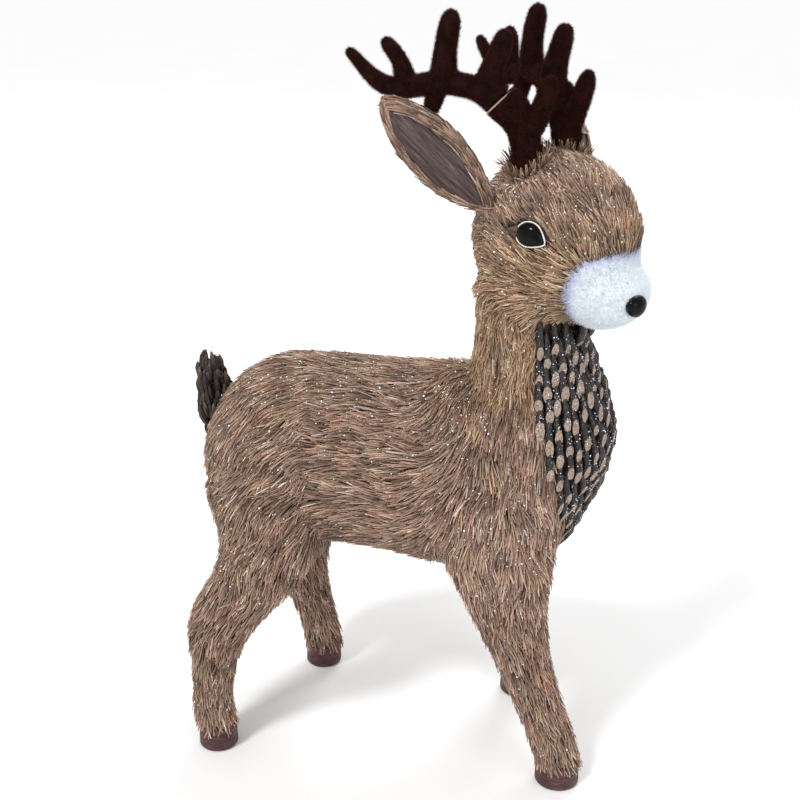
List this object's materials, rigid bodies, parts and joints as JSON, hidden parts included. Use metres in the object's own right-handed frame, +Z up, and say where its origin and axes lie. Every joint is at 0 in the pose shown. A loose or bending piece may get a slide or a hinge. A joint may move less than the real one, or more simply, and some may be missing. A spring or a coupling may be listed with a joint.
{
  "type": "straw deer figure",
  "caption": "Standing straw-wrapped deer figure with its head turned to its right, twig bib, white plush muzzle and plug-on flocked antlers.",
  "frame": {"origin": "bottom centre of the deer's box, on the surface that its hooves stand on", "axes": "+X the way the body faces, +Y the deer's left, +Z up"},
  "size_m": [0.3636, 0.2432, 0.5886],
  "materials": {
    "straw": "matte dried grass straw, laid and glued in overlapping strands, with fine glitter",
    "foam": "carved white foam",
    "steel": "plain bent wire",
    "wood_dowel": "bare wooden dowel",
    "twig": "short dark twigs cut on the slant, pale at the cut, frosted with glitter",
    "cone_twig": "dark dried twigs and cone scales",
    "antler_flock": "dark brown flock on moulded plastic",
    "husk": "dried bark husk with long grain",
    "eye_rim": "white eye rim",
    "gloss_black": "glossy black",
    "plush": "short white plush",
    "hoof_paint": "dark red-brown paint"
  },
  "bodies": {
    "deer": {"bib_twigs": "twig", "front_left_hoof": "hoof_paint", "front_left_leg_core": "foam", "front_left_leg_rod": "steel", "front_left_leg_straw": "straw", "front_right_hoof": "hoof_paint", "front_right_leg_core": "foam", "front_right_leg_rod": "steel", "front_right_leg_straw": "straw", "head_core": "foam", "head_straw": "straw", "hind_left_hoof": "hoof_paint", "hind_left_leg_core": "foam", "hind_left_leg_rod": "steel", "hind_left_leg_straw": "straw", "hind_right_hoof": "hoof_paint", "hind_right_leg_core": "foam", "hind_right_leg_rod": "steel", "hind_right_leg_straw": "straw", "left_antler_base": "antler_flock", "left_ear_husk": "husk", "left_ear_straw": "straw", "left_ear_wire": "steel", "left_eye": "gloss_black", "left_eye_corner": "husk", "left_eye_rim": "eye_rim", "muzzle": "plush", "neck_core": "foam", "neck_dowel": "wood_dowel", "neck_straw": "straw", "nose": "gloss_black", "right_antler_base": "antler_flock", "right_ear_husk": "husk", "right_ear_straw": "straw", "right_ear_wire": "steel", "right_eye": "gloss_black", "right_eye_corner": "husk", "right_eye_rim": "eye_rim", "tail_core": "foam", "tail_twigs": "cone_twig", "torso_core": "foam", "torso_straw": "straw"},
    "left_antler": {"left_antler_beam": "antler_flock"},
    "right_antler": {"right_antler_beam": "antler_flock"}
  },
  "joints": [
    {"name": "left_beam_pull", "type": "slide", "parent": "deer", "child": "left_antler", "axis": [-0.3832, 0.5697, 0.727], "range_m": [0, 0.02]},
    {"name": "right_beam_pull", "type": "slide", "parent": "deer", "child": "right_antler", "axis": [-0.6866, -0.0009, 0.727], "range_m": [0, 0.02]}
  ]
}
